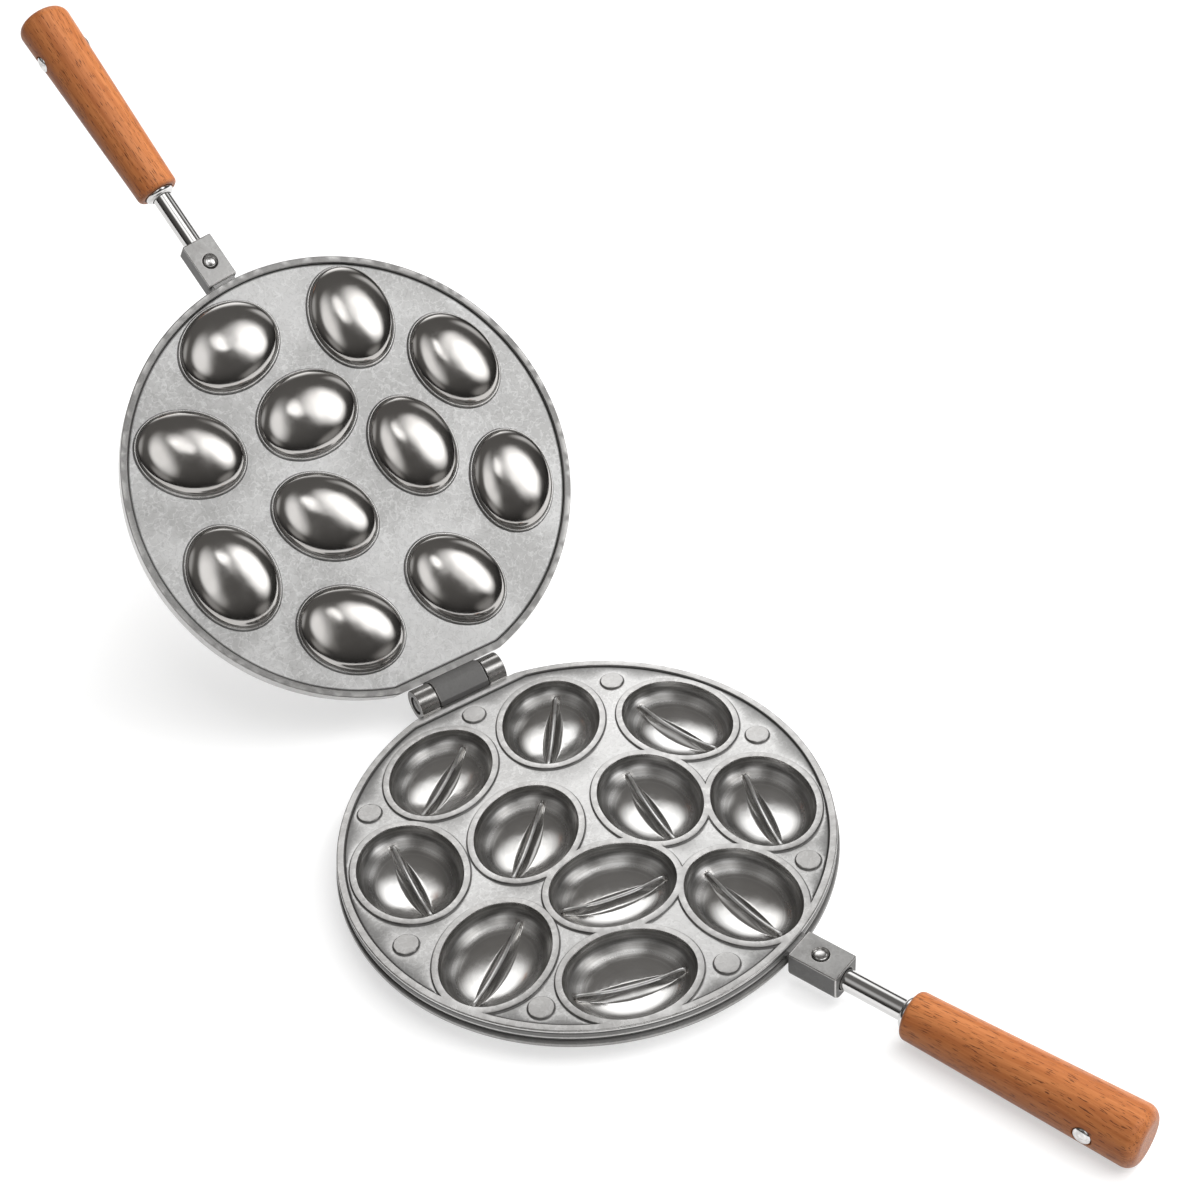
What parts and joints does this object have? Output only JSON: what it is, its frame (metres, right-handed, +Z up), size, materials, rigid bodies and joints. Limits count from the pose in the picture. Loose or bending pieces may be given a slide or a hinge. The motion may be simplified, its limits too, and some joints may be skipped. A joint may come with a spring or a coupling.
{
  "type": "hinged stovetop pastry mould",
  "caption": "Two round cast plates on one hinge, with seamed oval nut-shaped bowls in one and matching domes on the other, each on a steel rod with a turned wooden grip",
  "frame": {"origin": "bottom centre of the open mould's box, on the surface it stands on", "axes": "+X along the hinge pin, +Y from the lower handle towards the hinge and the raised half, +Z up"},
  "size_m": [0.1912, 0.563, 0.2458],
  "materials": {
    "cast_aluminium": "satin casting with a fine sand grain",
    "polished_aluminium": "mirror-polished domes on a fine-grained casting",
    "chromed_rods": "bright plated steel",
    "steel_pins": "bright worked steel",
    "oiled_beech": "satin red-brown stain with dark pores"
  },
  "bodies": {
    "lower_half": {"lower_plate": "cast_aluminium", "hinge_pin": "steel_pins", "lower_rod": "chromed_rods", "lower_socket_rivet": "steel_pins", "lower_ferrule": "chromed_rods", "lower_grip": "oiled_beech", "lower_grip_pin": "steel_pins"},
    "upper_half": {"upper_plate": "polished_aluminium", "upper_rod": "chromed_rods", "upper_socket_rivet": "steel_pins", "upper_ferrule": "chromed_rods", "upper_grip": "oiled_beech", "upper_grip_pin": "steel_pins"}
  },
  "joints": [
    {"name": "hinge", "type": "hinge", "parent": "lower_half", "child": "upper_half", "pos_m": [0, 0.03659, 0.0185], "axis": [1, 0, 0], "range_deg": [0, 136]}
  ]
}
